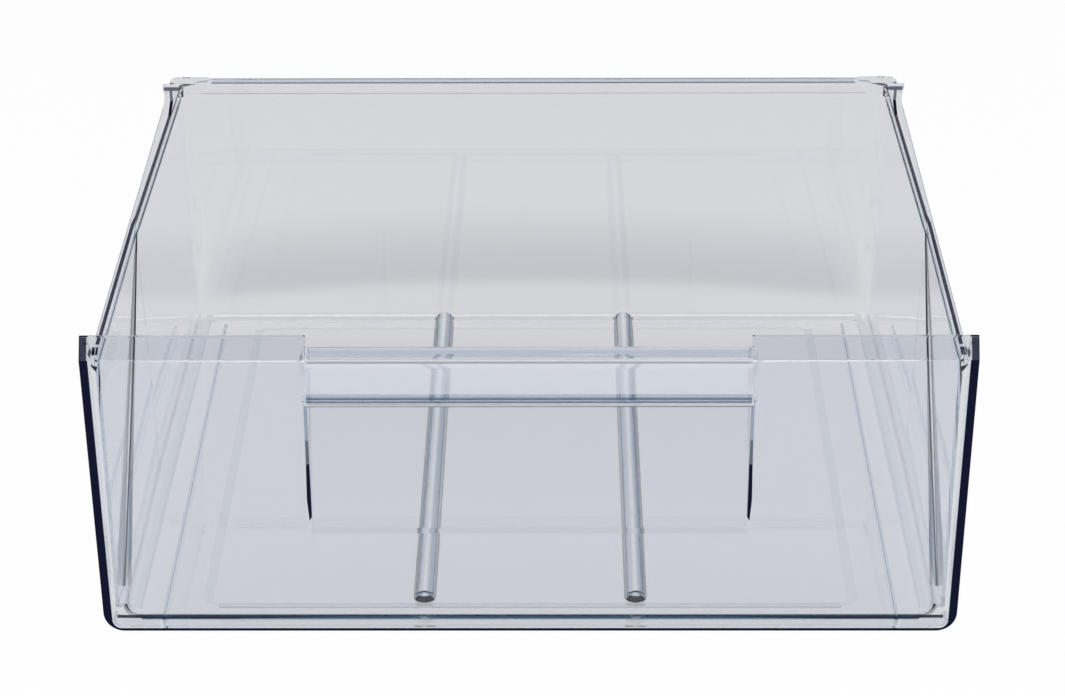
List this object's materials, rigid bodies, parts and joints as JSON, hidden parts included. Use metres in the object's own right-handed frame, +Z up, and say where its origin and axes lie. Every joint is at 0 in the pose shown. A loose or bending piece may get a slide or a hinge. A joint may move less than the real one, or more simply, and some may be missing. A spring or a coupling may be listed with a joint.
{
  "type": "freezer drawer",
  "caption": "Clear moulded freezer drawer: open tray with a deep front panel, a recessed pull handle, side slide rims and raised rear corner tabs.",
  "frame": {"origin": "middle of the width and depth, on the surface that the drawer rests on", "axes": "+X to the right as one faces the front panel, along its width; -Y out through the front panel; +Z up"},
  "size_m": [0.46, 0.39, 0.17],
  "materials": {
    "clear_plastic": "clear polished"
  },
  "bodies": {
    "root": {"drawer": "clear_plastic"}
  },
  "joints": []
}
